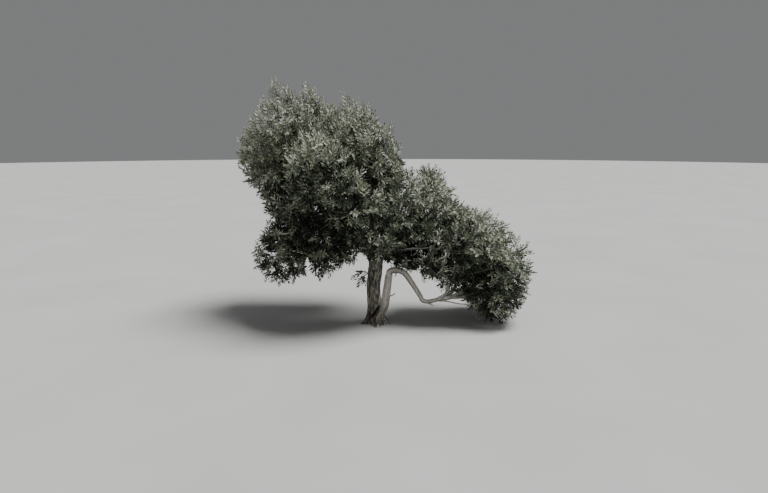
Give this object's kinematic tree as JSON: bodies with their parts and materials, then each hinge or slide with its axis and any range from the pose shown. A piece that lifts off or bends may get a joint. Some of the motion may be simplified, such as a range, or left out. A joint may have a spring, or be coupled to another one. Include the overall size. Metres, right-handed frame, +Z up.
{
  "type": "olive tree",
  "caption": "Small leaning olive tree: short flared trunk, spreading boughs, an open grey-green crown of leafy masses, and a low limb that arches over and down into a lobe of foliage.",
  "frame": {"origin": "middle of the flat cut under the trunk, at ground level", "axes": "+Z straight up from the ground, +X to the right in the picture towards the arching limb's lobe, +Y away from the picture's viewer"},
  "size_m": [3.5498, 2.0224, 2.9348],
  "materials": {
    "bark": "rough grey-brown bark with shallow furrows, smoother and paler on the younger limbs",
    "leaf": "matt grey-green leaves, silvery beneath, on thin grey twigs"
  },
  "bodies": {
    "root": {"trunk": "bark", "bough_centre": "bark", "bough_left": "bark", "bough_right": "bark", "bough_front": "bark", "bough_back": "bark", "arch_riser": "bark", "arch_fall": "bark", "arch_run": "bark", "branch_flank_left": "bark", "branch_low_left": "bark", "branch_skirt_left": "bark", "branch_peak_mid": "bark", "branch_back_left": "bark", "branch_back_peak": "bark", "branch_back_right": "bark", "branch_shoulder": "bark", "branch_front_upper": "bark", "branch_skirt_front": "bark", "branch_front_right": "bark", "branch_right_peak": "bark", "bough_level": "bark", "branch_back_lobe": "bark", "branch_lobe_inner": "bark", "branch_lobe_outer": "bark", "branch_lobe_top": "bark", "branch_lobe_back": "bark", "branch_skirt_right": "bark", "branch_skirt_fork": "bark", "foliage_peak_left": "leaf", "foliage_peak_mid": "leaf", "foliage_peak_right": "leaf", "foliage_shoulder": "leaf", "foliage_flank_left": "leaf", "foliage_low_left": "leaf", "foliage_skirt_left": "leaf", "foliage_front_upper": "leaf", "foliage_front_mid": "leaf", "foliage_skirt_front": "leaf", "foliage_front_right": "leaf", "foliage_right_mid": "leaf", "foliage_right_peak": "leaf", "foliage_right_inner": "leaf", "foliage_lobe_top": "leaf", "foliage_lobe_outer": "leaf", "foliage_lobe_low": "leaf", "foliage_lobe_inner": "leaf", "foliage_back_left": "leaf", "foliage_back_peak": "leaf", "foliage_back_right": "leaf", "foliage_back_low": "leaf", "foliage_back_lobe": "leaf", "foliage_lobe_back": "leaf", "foliage_trunk_sprout": "leaf", "foliage_skirt_right": "leaf", "foliage_skirt_fork": "leaf"}
  },
  "joints": []
}
